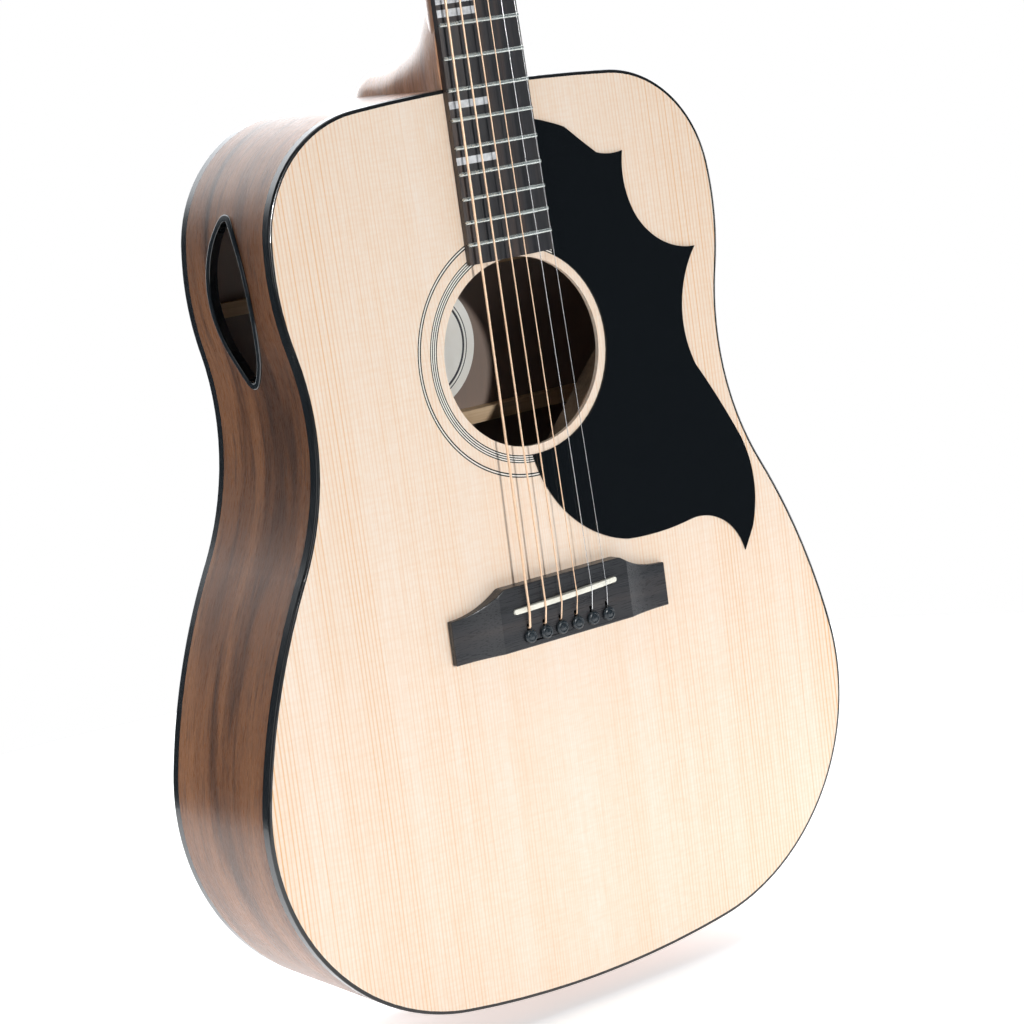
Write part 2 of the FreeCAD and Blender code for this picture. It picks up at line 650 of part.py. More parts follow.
# ---- neck, headstock and truss rod --------------------------------------------------------------
def d_section(name, z, half, depth):
    items = [((-half, 0), (half, 0)), ((half, 0), (half * 0.93, depth * 0.48), (half * 0.62, depth * 0.84)),
             ((half * 0.62, depth * 0.84), (0, depth), (-half * 0.62, depth * 0.84)),
             ((-half * 0.62, depth * 0.84), (-half * 0.93, depth * 0.48), (-half, 0))]
    return sketch(name, items, "XY", shift=z)


def loft(name, sections, frame):
    solid = doc.addObject("Part::Loft", name)
    solid.Sections, solid.Solid = sections, True
    return seat(solid, frame)


shaft_ends = [d_section("shaft_heel", -8, half_width(-8), 18),
              d_section("shaft_nut", nut_z + 6, half_nut, 15.5)]
shaft = loft("neck_shaft", shaft_ends, NECK)
# depth under the fingerboard, reach up the neck and half-width of the heel's sections
HEEL = ((0, 80, 26.6), (10, 72, 25.8), (18, 61, 25), (25, 49, 24.5), (32, 39.5, 24.2), (40, 32, 24),
        (50, 25.5, 24), (62, 20.5, 23.8), (76, 18, 23.5), (86, 17, 23.2), (90, 15.5, 22.4))
heel_sections = []
for index, (depth, reach, half) in enumerate(HEEL):
    corner = (half * 0.62, reach * 0.85)
    flank = ((half, -6), (half * 0.94, reach * 0.5), corner)
    back = (corner, (0, reach), (-corner[0], corner[1]))
    items = [((-half, -6), (half, -6)), flank, back, *mirrored([flank])]
    heel_sections.append(sketch(f"heel_section_{index}", items, "XZ", shift=-depth))
heel = loft("neck_heel", heel_sections, NECK)

head_half = [((0, -8), (half_nut, -8)), ((half_nut, -8), (half_nut, 1)),
             ((half_nut, 1), (half_nut + 2, 15), (30, 28)), ((30, 28), (38, 164)),
             ((38, 164), (37, 168.5), (33.5, 171)), ((33.5, 171), (17, 176), (0, 178))]
head_plan = sketch("head_plan", head_half + mirrored(head_half))
head_slab = seat(extrude("head_slab", head_plan, V(0, 1, 0), "sizes.head_thickness"), HEAD)
veneer_slab = seat(extrude("veneer_slab", head_plan, V(0, -1, 0), "sizes.veneer_thickness"), HEAD)

POSTS = [(hand * x, size("first_post_z") + row * size("post_pitch")) for hand in (-1, 1)
         for row, x in enumerate((20.5, 21.5, 22.5))]
post_bores = []
for index, (x, z) in enumerate(POSTS, start=1):
    post_bores.append(seat(rod(f"post_bore_{index}", "4.5", (x, 20, z), "40"), HEAD))
screws = []


def screw(x, z, seat_y, inward, head_radius, head_height, length):
    """Round-headed screw driven into the headstock from its front or its back."""
    index = len(screws)
    head = rod(f"screw_head_{index}", str(head_radius), (x, seat_y, z), str(head_height), (0, -inward, 0))
    shank = rod(f"screw_shank_{index}", "1.1", (x, seat_y, z), str(length), (0, inward, 0))
    screws.append(seat(boolean("Fuse", f"screw_{index}", head, shank), HEAD))


for x, z in POSTS:
    screw(x, z + 13.5, size("head_thickness"), -1, 2.2, 1.4, 8)
for x, z in ((-9.4, 6.5), (9.4, 6.5), (0, 40)):
    screw(x, z, -size("veneer_thickness") - size("cover_thickness"), 1, 1.9, 0.9, 9)
group("headstock_screws", screws)
head_bores = doc.addObject("Part::Compound", "head_bores")
head_bores.Links = post_bores + screws

rod_y = 7.0
rod_pocket = seat(rod("rod_pocket", "5.2", (0, rod_y, nut_z + 8), "24", (0, 0, 1)), NECK)
rod_channel = seat(box("rod_channel", (-2.6, -1, -10), (2.6, rod_y + 2.6, nut_z + 12)), NECK)
nut_seat = seat(box("nut_seat", (-40, -30, 300), (40, 0, nut_z + size("nut_thickness"))), NECK)
wood = boolean("Fuse", "neck_wood", shaft, heel, head_slab)
wood = boolean("Cut", "neck_trimmed", wood, outer_slab)
tenon_limit = seat(box("tenon_limit", (-20, 0, -30), (20, 80, 20)), NECK)
tenon = boolean("Common", "tenon", tenon_pocket, tenon_limit)
wood = boolean("Fuse", "neck_and_tenon", wood, tenon)
neck_cuts = boolean("Fuse", "neck_cuts", rod_pocket, rod_channel, nut_seat)
wood = boolean("Cut", "neck_machined", wood, neck_cuts)
publish(boolean("Cut", "neck_bored", wood, head_bores), "neck")
veneer = boolean("Cut", "veneer_cut", veneer_slab, boolean("Fuse", "veneer_cuts", rod_pocket, nut_seat))
publish(boolean("Cut", "veneer_bored", veneer, head_bores), "head_veneer")

publish(seat(rod("rod_bar", "2.5", (0, rod_y, -6), f"{nut_z + 24}", (0, 0, 1)), NECK), "truss_rod")
hexagon = [(4.2 * math.cos(math.radians(60 * k)), 4.2 * math.sin(math.radians(60 * k))) for k in range(6)]
nut_face = sketch("rod_nut_shape", polygon(*hexagon), "XY")
rod_nut_blank = extrude("rod_nut_blank", nut_face, V(0, 0, 1), "8")
rod_nut_bore = rod("rod_nut_bore", "2.5 + sizes.running_gap", (0, 0, -1), "20", (0, 0, 1))
rod_nut = boolean("Cut", "rod_nut", rod_nut_blank, rod_nut_bore)
rod_nut.Placement = NECK * FreeCAD.Placement(V(0, rod_y, nut_z + 10.5), FreeCAD.Rotation())
publish(rod_nut, "truss_rod_nut")
cover_half = [((0, 2), (12, 2)), ((12, 2), (12, 16)), ((12, 16), (9.5, 34), (0, 46))]
cover_plan = sketch("cover_shape", cover_half + mirrored(cover_half))
cover = extrude("cover_slab", cover_plan, V(0, -1, 0), "sizes.cover_thickness")
cover.Placement = HEAD * FreeCAD.Placement(V(0, -size("veneer_thickness"), 0), FreeCAD.Rotation())
publish(boolean("Cut", "cover_drilled", cover, head_bores), "truss_rod_cover")

# ---- strings ------------------------------------------------------------------------------------
STRING_DIAMETERS = (1.35, 1.07, 0.81, 0.61, 0.41, 0.30)
STRING_POSTS = POSTS[:3] + POSTS[:2:-1]


def string_route(index):
    """Run of the string's centreline from its ball end to its post, in the guitar's frame."""
    radius = STRING_DIAMETERS[index] / 2
    pin_x = PIN_X[index]
    nut_x = (index - 2.5) * 7.2
    wrap = STRING_POSTS[index]
    saddle_z = size("saddle_z") - 1.6 + pin_x * math.tan(math.radians(size("saddle_tilt")))
    saddle_y = saddle_line_y + pin_x ** 2 / (2 * size("board_arch_radius")) - radius - 0.12
    nut_y = -thick - size("fret_height") - 0.5 + nut_x ** 2 / (2 * size("board_arch_radius")) - radius
    nut_front = NECK.multVec(V(nut_x, nut_y, nut_z + 1.5))
    hand = -1 if index < 3 else 1
    side_x = wrap[0] - hand * (size("post_radius") + size("running_gap") + radius)
    post = HEAD.multVec(V(side_x, -9, wrap[1]))
    notch_z = size("pin_z") + 4.1 + radius
    ball_end = V(pin_x, -47, notch_z)
    bridge_edge = V(pin_x, crown_y - 0.4 - radius, notch_z)
    return [ball_end, bridge_edge, V(pin_x, saddle_y, saddle_z), nut_front, post]


def run_wire(points, bends):
    """Straight runs joined by tangent arcs of the given radii."""
    edges, last = [], points[0]
    for before, corner, after, reach in zip(points, points[1:], points[2:], bends):
        inward, outward = (before - corner).normalize(), (after - corner).normalize()
        turn = math.pi - inward.getAngle(outward)
        cut = reach * math.tan(turn / 2)
        start, end = corner + inward * cut, corner + outward * cut
        middle = corner + (inward + outward).normalize() * (reach / math.cos(turn / 2) - reach)
        edges += [Part.LineSegment(last, start).toShape(), Part.Arc(start, middle, end).toShape()]
        last = end
    return Part.Wire(edges + [Part.LineSegment(last, points[-1]).toShape()])


for index, diameter in enumerate(STRING_DIAMETERS):
    points = string_route(index)
    wire = run_wire(points, (0.9 + diameter / 2, 4.0, 4.0))
    section = Part.Wire(Part.makeCircle(diameter / 2, points[0], points[1] - points[0]))
    tube = wire.makePipeShell([section], True, True)
    ball = Part.makeCylinder(2.0, 4.0, V(points[0].x - 2, -46.6, points[0].z + 1.0), V(1, 0, 0))
    wrap = STRING_POSTS[index]
    inner = size("post_radius") + size("running_gap")
    base = HEAD.multVec(V(wrap[0], -9 + 2 * diameter, wrap[1]))
    along = HEAD.Rotation.multVec(V(0, -1, 0))
    outside = Part.makeCylinder(inner + diameter, 4 * diameter, base, along)
    sleeve = outside.cut(Part.makeCylinder(inner, 4 * diameter, base, along))
    string = doc.addObject("Part::Feature", f"string_{index + 1}_shape")
    string.Shape = tube.fuse([ball, sleeve])
    publish(string, f"string_{index + 1}")
    print(f"string {index + 1}: {wire.Length:.1f} mm of centreline")

nut_body = doc.addObject("PartDesign::Body", "nut_blank")
nut_body.Placement = NECK
nut_pad = nut_body.newObject("PartDesign::Pad", "nut_pad")
nut_top = nut_z + size("nut_thickness")
nut_plan = polygon((-half_nut, nut_z), (half_nut, nut_z), (half_nut, nut_top), (-half_nut, nut_top))
nut_pad.Profile = sketch("nut_plan", nut_plan, "XZ", nut_body)
bind(nut_pad, Length="sizes.nut_height")
nut_slots = []
for index, diameter in enumerate(STRING_DIAMETERS):
    x = (index - 2.5) * 7.2
    floor = -thick - size("fret_height") - 0.4 + x ** 2 / (2 * size("board_arch_radius"))
    side = polygon((-14, -4), (floor, -4), (floor, 1.8), (floor + 1.9, 8), (-14, 8))
    ramp = extrude(f"nut_ramp_{index}", sketch(f"nut_ramp_{index}_shape", side, "YZ"), V(1, 0, 0), "9", "9")
    half, run = diameter / 2 + 0.06, string_route(index)
    drift = (run[4].x - run[3].x) / (run[4].z - run[3].z) * 7
    plan = polygon((-half, -4), (half, -4), (half, 1), (half + drift, 8), (drift - half, 8), (-half, 1))
    gap = extrude(f"nut_gap_{index}", sketch(f"nut_gap_{index}_shape", plan), V(0, 1, 0), "20", "20")
    slot = boolean("Common", f"nut_slot_{index}", ramp, gap)
    slot.Placement = FreeCAD.Placement(V(x, 0, nut_z), FreeCAD.Rotation())
    nut_slots.append(seat(slot, NECK))
nut_cuts = doc.addObject("Part::Compound", "nut_cuts")
nut_cuts.Links = nut_slots
nut_crowned = boolean("Common", "nut_crowned", nut_body, board_cylinder("nut_round", 2.3))
publish(boolean("Cut", "nut_cut", nut_crowned, nut_cuts), "nut")

# ---- tuning machines ----------------------------------------------------------------------------
housings, bushings = [], []
back_y = size("head_thickness")
post_bore = "sizes.post_radius + sizes.running_gap"
post_reach = size("post_radius")
post_half = [((0, -24), (post_reach, -24)), ((post_reach, -24), (post_reach, 16.2)),
             ((post_reach, 16.2), (post_reach - 0.9, 17.5)), ((post_reach - 0.9, 17.5), (0, 17.5)),
             ((0, 17.5), (0, -24))]


def rounded_rectangle(low, high, round_radius):
    """Rectangle with round corners, counterclockwise from its lower edge."""
    spare = round_radius * (1 - math.sqrt(0.5))
    (left, bottom), (right, top) = low, high
    near, far = left + round_radius, right - round_radius
    foot, shoulder = bottom + round_radius, top - round_radius
    return [((near, bottom), (far, bottom)), ((far, bottom), (right - spare, bottom + spare), (right, foot)),
            ((right, foot), (right, shoulder)), ((right, shoulder), (right - spare, top - spare), (far, top)),
            ((far, top), (near, top)), ((near, top), (left + spare, top - spare), (left, shoulder)),
            ((left, shoulder), (left, foot)), ((left, foot), (left + spare, bottom + spare), (near, bottom))]


def tuner_post(index, x, z):
    """Turned post, drilled across for its string."""
    post = doc.addObject("PartDesign::Body", f"post_{index}")
    turning = post.newObject("PartDesign::Revolution", f"post_turning_{index}")
    turning.Profile = sketch(f"post_half_{index}", post_half, "XZ", post)
    turning.ReferenceAxis = (turning.Profile[0], ["V_Axis"])
    post.Placement = HEAD * FreeCAD.Placement(V(x, 0, z), FreeCAD.Rotation(V(1, 0, 0), 90))
    string_hole = seat(rod(f"string_hole_{index}", "1", (x - 10, -14.4, z), "20", (1, 0, 0)), HEAD)
    return boolean("Cut", f"post_drilled_{index}", post, string_hole)


def tuner_bushing(index, x, z):
    """Flanged ferrule pressed into the front of the headstock."""
    flange = rod(f"bushing_flange_{index}", "6.5", (x, -1.5, z), "1.3")
    sleeve = rod(f"bushing_sleeve_{index}", "4.45", (x, 6, z), "8")
    blank = boolean("Fuse", f"bushing_blank_{index}", flange, sleeve)
    bore = rod(f"bushing_bore_{index}", post_bore, (x, 20, z), "40")
    return seat(boolean("Cut", f"bushing_{index}", blank, bore), HEAD)


def tuner_housing(index, x, z, hand, worm):
    """Cast gear case on the back of the headstock, bored for its post and its worm shaft."""
    outline = rounded_rectangle((x - 9, z - 12), (x + 9, z + 10), 3.5)
    face = sketch(f"case_{index}_shape", outline)
    case = extrude(f"case_{index}", face, V(0, 1, 0), f"{back_y + 13}", f"{-back_y}")
    bore = rod(f"case_post_bore_{index}", post_bore, (x, back_y + 10.5, z), "20")
    worm_start = (x - hand * 6, worm[0], worm[1])
    worm_bore = rod(f"case_worm_bore_{index}", "2 + sizes.running_gap", worm_start, "30", (hand, 0, 0))
    bores = boolean("Fuse", f"case_bores_{index}", bore, worm_bore)
    return seat(boolean("Cut", f"housing_{index}", case, bores), HEAD)


def tuner_knob(index, x, z, hand, worm):
    """Worm shaft with a collar at the case and a flat button past the edge of the headstock."""
    edge = 30 + 8 * (z - 28) / 136  # half the headstock's width beside this post
    overhang = edge - abs(x) + 5.5
    collar, neck_end, tip = 15.2, overhang + 7, overhang + 20
    body = doc.addObject("PartDesign::Body", f"knob_{index}")
    turning = body.newObject("PartDesign::Revolution", f"knob_turning_{index}")
    stem = [((0, 0), (0, 2)), ((0, 2), (collar, 2)), ((collar, 2), (collar, 4)),
            ((collar, 4), (collar + 2.5, 4)), ((collar + 2.5, 4), (neck_end + 1, 2.4)),
            ((neck_end + 1, 2.4), (neck_end + 1, 0)), ((neck_end + 1, 0), (0, 0))]
    turning.Profile = sketch(f"knob_stem_{index}", stem, "XZ", body)
    turning.ReferenceAxis = (turning.Profile[0], ["H_Axis"])
    wing = [((neck_end, -5), (neck_end - 0.6, 0), (neck_end, 5)),
            ((neck_end, 5), (neck_end + 3, 9), (neck_end + 7, 9.5)),
            ((neck_end + 7, 9.5), (tip - 0.4, 6.5), (tip, 0)),
            ((tip, 0), (tip - 0.4, -6.5), (neck_end + 7, -9.5)),
            ((neck_end + 7, -9.5), (neck_end + 3, -9), (neck_end, -5))]
    pad = body.newObject("PartDesign::Pad", f"knob_pad_{index}")
    pad.Profile = sketch(f"knob_wing_{index}", wing, "XZ", body)
    pad.Length, pad.Midplane = 6, True
    turn = FreeCAD.Rotation(V(0, 1, 0), 0 if hand > 0 else 180)
    body.Placement = HEAD * FreeCAD.Placement(V(x - hand * 5.5, worm[0], worm[1]), turn)
    return body


for index, (x, z) in enumerate(POSTS, start=1):
    hand = math.copysign(1, x)
    worm = (back_y + 7, z - 7)
    publish(tuner_post(index, x, z), f"tuner_post_{index}")
    bushings.append(tuner_bushing(index, x, z))
    housings.append(tuner_housing(index, x, z, hand, worm))
    publish(tuner_knob(index, x, z, hand, worm), f"tuner_knob_{index}")
group("tuner_housings", housings)
group("tuner_bushings", bushings)

# ---- end button ---------------------------------------------------------------------------------
button = doc.addObject("PartDesign::Body", "button_blank")
turning = button.newObject("PartDesign::Revolution", "button_turning")
profile = [((0, 18), (3.9, 18)), ((3.9, 18), (3.9, 0)), ((3.9, 0), (4.5, 0)), ((4.5, 0), (4.5, -5)),
           ((4.5, -5), (5.2, -7.2), (7.2, -8.4)), ((7.2, -8.4), (7.0, -10.4), (5.5, -11.4)),
           ((5.5, -11.4), (0, -12.2)), ((0, -12.2), (0, 18))]
turning.Profile = sketch("button_half", profile, "XZ", button)
turning.ReferenceAxis = (turning.Profile[0], ["V_Axis"])
publish(button, "end_button")


# ---- checks and files ---------------------------------------------------------------------------
doc.recompute()
for obj in doc.Objects:
    if {"Invalid", "Error"} & set(obj.State):
        raise RuntimeError(f"{obj.Name} ({obj.Label}) failed: {obj.State}")
os.makedirs("parts", exist_ok=True)
for piece in pieces:
    shape = piece.Shape
    if shape.isNull() or not shape.isValid() or not shape.Solids:
        raise RuntimeError(f"{piece.Label} has no valid solid")
    shape.exportStep(f"parts/{piece.Label}.step")
    print(f"{piece.Label}: {len(shape.Solids)} solid(s), {shape.Volume / 1000:.2f} cm3")
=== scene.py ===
import bpy, math
from mathutils import Vector, Matrix


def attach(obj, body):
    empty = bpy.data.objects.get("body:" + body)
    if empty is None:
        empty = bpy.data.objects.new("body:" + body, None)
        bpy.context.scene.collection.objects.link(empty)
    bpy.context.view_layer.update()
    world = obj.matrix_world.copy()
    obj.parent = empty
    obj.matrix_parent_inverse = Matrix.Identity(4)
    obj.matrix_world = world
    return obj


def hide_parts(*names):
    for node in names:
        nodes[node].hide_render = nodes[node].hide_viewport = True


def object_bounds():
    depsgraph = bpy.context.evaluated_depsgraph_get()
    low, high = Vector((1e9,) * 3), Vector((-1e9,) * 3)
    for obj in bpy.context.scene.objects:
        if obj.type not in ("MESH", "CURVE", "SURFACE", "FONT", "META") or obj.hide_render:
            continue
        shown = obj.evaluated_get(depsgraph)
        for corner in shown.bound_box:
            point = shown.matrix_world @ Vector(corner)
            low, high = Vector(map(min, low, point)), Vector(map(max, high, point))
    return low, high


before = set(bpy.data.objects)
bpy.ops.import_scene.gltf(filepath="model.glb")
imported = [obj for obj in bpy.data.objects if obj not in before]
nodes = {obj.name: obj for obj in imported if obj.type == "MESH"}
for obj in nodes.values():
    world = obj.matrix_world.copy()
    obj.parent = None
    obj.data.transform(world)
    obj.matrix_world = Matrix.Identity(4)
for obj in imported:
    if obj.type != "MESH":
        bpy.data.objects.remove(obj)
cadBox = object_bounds()


def deselectAll():
    for other in list(bpy.context.selected_objects):
        other.select_set(False)


# camera: stands to the bass side of the front, a little above the sound hole
cameraSetup = {
    "place": (-0.910494, -1.33938, 0.551695),
    "right": (0.80140, -0.58304, -0.13351),
    "up": (0.21083, 0.06645, 0.97526),
    "lens": 102.93,
}
cameraData = bpy.data.cameras.new("camera")
camera = bpy.data.objects.new("camera", cameraData)
bpy.context.scene.collection.objects.link(camera)
bpy.context.scene.camera = camera
right, up = Vector(cameraSetup["right"]), Vector(cameraSetup["up"])
turn = Matrix((right, up, right.cross(up))).transposed().to_4x4()
camera.matrix_world = Matrix.Translation(cameraSetup["place"]) @ turn
cameraData.lens = cameraSetup["lens"]
cameraData.sensor_width = 36
cameraData.clip_start, cameraData.clip_end = 0.05, 50
print("camera placed")

# room: white behind and overhead, dim to the front, one pale floor, a small front lamp and wide soft ones
studio = {
    "backdrop": (1.0, 1.0, 1.0),
    "dimColor": (0.06, 0.08, 0.10),
    "brightColor": (3.0, 3.1, 3.2),
    "brightSide": (0.45, 0.75, 0.45),
    "brightEdge": (0.53, 0.76),
    "floorColor": (0.95, 0.95, 0.95),
    "floorGlow": 0.46,
    "floorRadius": 0.85,
    "lamps": [
        # name, place, aim, size, watts, colour
        ("frontLamp", (0.2, -3.3, 0.85), (0, 0, 0.3), 0.14, 68, (1.0, 0.99, 0.98)),
        ("leftLamp", (-2.9, -0.7, 0.9), (0, 0, 0.3), 1.5, 12, (1.0, 0.99, 0.985)),
        ("rightLamp", (2.4, -0.86, 0.2), (0, 0, 0.25), 0.8, 7, (0.97, 0.985, 1.0)),
        ("topLamp", (0.1, -0.2, 3.0), (0, 0, 0.2), 1.6, 20, (1.0, 1.0, 1.0)),
    ],
}
bpy.context.scene.view_settings.view_transform = "Standard"
world = bpy.data.worlds.new("room")
bpy.context.scene.world = world
world.use_nodes = True
worldTree = world.node_tree
background = worldTree.nodes["Background"]
direction = worldTree.nodes.new("ShaderNodeTexCoord")
facing = worldTree.nodes.new("ShaderNodeVectorMath")
facing.operation = "DOT_PRODUCT"
facing.inputs[1].default_value = Vector(studio["brightSide"]).normalized()
worldTree.links.new(direction.outputs["Generated"], facing.inputs[0])
spread = worldTree.nodes.new("ShaderNodeMapRange")
spread.interpolation_type = "SMOOTHSTEP"
for socket, number in zip(range(1, 5), (*studio["brightEdge"], 0.0, 1.0)):
    spread.inputs[socket].default_value = number
worldTree.links.new(facing.outputs["Value"], spread.inputs[0])
walls = worldTree.nodes.new("ShaderNodeMix")
walls.data_type = "RGBA"
walls.inputs[6].default_value = (*studio["dimColor"], 1)
walls.inputs[7].default_value = (*studio["brightColor"], 1)
worldTree.links.new(spread.outputs[0], walls.inputs[0])
seen = worldTree.nodes.new("ShaderNodeLightPath")
backdrop = worldTree.nodes.new("ShaderNodeMix")
backdrop.data_type = "RGBA"
backdrop.inputs[7].default_value = (*studio["backdrop"], 1)
worldTree.links.new(seen.outputs["Is Camera Ray"], backdrop.inputs[0])
worldTree.links.new(walls.outputs[2], backdrop.inputs[6])
worldTree.links.new(backdrop.outputs[2], background.inputs["Color"])
for name, place, aim, size, watts, color in studio["lamps"]:
    lampData = bpy.data.lights.new(name, "AREA")
    lampData.size = size
    lampData.energy = watts
    lampData.color = color
    lamp = bpy.data.objects.new(name, lampData)
    bpy.context.scene.collection.objects.link(lamp)
    lamp.location = place
    lamp.rotation_euler = (Vector(aim) - Vector(place)).to_track_quat("-Z", "Y").to_euler()
floorPlace = (0, 0, cadBox[0].z - 0.001)
deselectAll()
bpy.ops.mesh.primitive_circle_add(vertices=96, radius=studio["floorRadius"], fill_type="NGON",
                                  location=floorPlace)
floor = bpy.context.object
floor.name = "floor"
print("room lit")


def startMaterial(name, color, roughness, metallic=0.0, coat=0.0, coatRoughness=0.05):
    material = bpy.data.materials.new(name)
    material.use_nodes = True
    shader = material.node_tree.nodes["Principled BSDF"]
    shader.inputs["Base Color"].default_value = (*color, 1)
    shader.inputs["Roughness"].default_value = roughness
    shader.inputs["Metallic"].default_value = metallic
    shader.inputs["Coat Weight"].default_value = coat
    shader.inputs["Coat Roughness"].default_value = coatRoughness
    return material, material.node_tree, shader


def place(tree, kind, **values):
    node = tree.nodes.new(kind)
    for key, value in values.items():
        if key in node.inputs.keys():
            node.inputs[key].default_value = value
        else:
            setattr(node, key, value)
    return node


def objectCoords(tree, scale=(1, 1, 1), offset=(0, 0, 0), mirrorX=False):
    spot = place(tree, "ShaderNodeTexCoord")
    source = spot.outputs["Object"]
    if mirrorX:
        fold = place(tree, "ShaderNodeVectorMath", operation="ABSOLUTE")
        tree.links.new(source, fold.inputs[0])
        source = fold.outputs[0]
    mapping = place(tree, "ShaderNodeMapping", Scale=scale, Location=offset)
    tree.links.new(source, mapping.inputs["Vector"])
    return mapping.outputs["Vector"]


def noise(tree, vector, scale=1.0, detail=4.0, roughness=0.55, distortion=0.0):
    node = place(tree, "ShaderNodeTexNoise", Scale=scale, Detail=detail, Roughness=roughness,
                 Distortion=distortion)
    tree.links.new(vector, node.inputs["Vector"])
    return node.outputs["Fac"]


def ramp(tree, factor, stops):
    node = place(tree, "ShaderNodeValToRGB")
    node.color_ramp.interpolation = "LINEAR"
    elements = node.color_ramp.elements
    while len(elements) < len(stops):
        elements.new(0.5)
    for element, (position, color) in zip(elements, stops):
        element.position = position
        element.color = (*color, 1)
    tree.links.new(factor, node.inputs["Fac"])
    return node.outputs["Color"]


def mixColors(tree, factor, first, second):
    node = place(tree, "ShaderNodeMix", data_type="RGBA")
    for socket, value in ((0, factor), (6, first), (7, second)):
        if isinstance(value, (int, float)):
            node.inputs[socket].default_value = value
        elif isinstance(value, tuple):
            node.inputs[socket].default_value = (*value, 1)
        else:
            tree.links.new(value, node.inputs[socket])
    return node.outputs[2]


def mapRange(tree, value, low, high, newLow, newHigh):
    node = place(tree, "ShaderNodeMapRange")
    for socket, number in zip(range(1, 5), (low, high, newLow, newHigh)):
        node.inputs[socket].default_value = number
    tree.links.new(value, node.inputs[0])
    return node.outputs[0]


def bump(tree, shader, height, strength, distance):
    node = place(tree, "ShaderNodeBump", Strength=strength, Distance=distance)
    tree.links.new(height, node.inputs["Height"])
    tree.links.new(node.outputs["Normal"], shader.inputs["Normal"])


def calculate(tree, operation, first, second=0.0, third=0.0):
    node = place(tree, "ShaderNodeMath", operation=operation)
    for socket, value in enumerate((first, second, third)):
        if isinstance(value, (int, float)):
            node.inputs[socket].default_value = value
        else:
            tree.links.new(value, node.inputs[socket])
    return node.outputs[0]


def splitCoords(tree, vector):
    node = place(tree, "ShaderNodeSeparateXYZ")
    tree.links.new(vector, node.inputs[0])
    return node.outputs


def joinCoords(tree, x=0.0, y=0.0, z=0.0):
    node = place(tree, "ShaderNodeCombineXYZ")
    for socket, value in enumerate((x, y, z)):
        if isinstance(value, (int, float)):
            node.inputs[socket].default_value = value
        else:
            tree.links.new(value, node.inputs[socket])
    return node.outputs[0]


# pale spruce, its two halves joined on the centreline, rings closer together near the join
spruce = {
    "pale": (0.80, 0.668, 0.545),
    "cream": (0.815, 0.705, 0.60),
    "line": (0.72, 0.41, 0.19),
    "ringGap": 0.0027,
    "lineDepth": 0.95,
}


def makeSpruce(name, settings):
    material, tree, shader = startMaterial(name, settings["pale"], 0.5, coat=0.15, coatRoughness=0.3)
    across = splitCoords(tree, objectCoords(tree, mirrorX=True))
    drift = noise(tree, objectCoords(tree, scale=(9, 9, 1.6), mirrorX=True), detail=2)
    crowded = calculate(tree, "POWER", across[0], 0.86)
    wandering = calculate(tree, "MULTIPLY_ADD", drift, 0.012, crowded)
    wave = place(tree, "ShaderNodeTexWave", Scale=0.314 / settings["ringGap"], Distortion=0.0)
    wave.wave_profile = "SIN"
    tree.links.new(joinCoords(tree, wandering), wave.inputs["Vector"])
    lateWood = mapRange(tree, wave.outputs["Fac"], 0.55, 1.0, 0.0, 1.0)
    uneven = noise(tree, objectCoords(tree, scale=(420, 1, 2.2), offset=(1, 0, 2), mirrorX=True), detail=2)
    patches = noise(tree, objectCoords(tree, scale=(34, 34, 0.7), offset=(2, 0, 5), mirrorX=True), detail=3)
    edges = mapRange(tree, across[0], 0.02, 0.12, 0.32, 1.0)
    depth = calculate(tree, "MULTIPLY", edges, mapRange(tree, patches, 0.32, 0.62, 0.3, 1.0))
    strength = mapRange(tree, uneven, 0.3, 0.7, settings["lineDepth"] * 0.35, settings["lineDepth"] * 1.3)
    lines = calculate(tree, "MULTIPLY", calculate(tree, "MULTIPLY", lateWood, depth), strength)
    silk = noise(tree, objectCoords(tree, scale=(120, 120, 620)), detail=3)
    fibre = noise(tree, objectCoords(tree, scale=(1500, 1500, 26)), detail=3)
    paler = mapRange(tree, patches, 0.35, 0.65, 0.0, 1.0)
    board = mixColors(tree, paler, settings["cream"], settings["pale"])
    silky = mixColors(tree, mapRange(tree, silk, 0.35, 0.7, 0.0, 0.16), board, settings["line"])
    fibrous = mixColors(tree, mapRange(tree, fibre, 0.38, 0.72, 0.0, 0.26), silky, settings["line"])
    tree.links.new(mixColors(tree, lines, fibrous, settings["line"]), shader.inputs["Base Color"])
    tree.links.new(mapRange(tree, silk, 0.3, 0.7, 0.42, 0.56), shader.inputs["Roughness"])
    bump(tree, shader, fibre, 0.10, 0.0002)
    return material


# open-pored wood: broad figure, darker streaks and short pores, all drawn out along the grain
walnut = {"light": (0.40, 0.175, 0.078), "middle": (0.26, 0.105, 0.044), "dark": (0.072, 0.030, 0.015)}
walnutDeep = {"light": (0.23, 0.110, 0.058), "middle": (0.15, 0.066, 0.034), "dark": (0.050, 0.022, 0.013)}
# mahogany tones lifted lighter than the wood itself: partly its own colour, partly painted sheen on the
# neck and heel
mahoganyAndSheenTones = {"light": (0.66, 0.36, 0.215), "middle": (0.53, 0.27, 0.150), "dark": (0.28, 0.130, 0.075)}
bridgeTones = {"light": (0.042, 0.036, 0.035), "middle": (0.022, 0.023, 0.026),
               "dark": (0.012, 0.013, 0.015)}
ebonyTones = {"light": (0.070, 0.046, 0.036), "middle": (0.026, 0.026, 0.029),
              "dark": (0.010, 0.010, 0.012)}
# darker copy of the brace tones for the braces and lining under the top: painted shade
paintedShadeBraceTones = {"light": (0.20, 0.13, 0.075), "middle": (0.15, 0.095, 0.055), "dark": (0.09, 0.055, 0.03)}
braceTones = {"light": (0.72, 0.54, 0.35), "middle": (0.62, 0.45, 0.28), "dark": (0.44, 0.29, 0.16)}


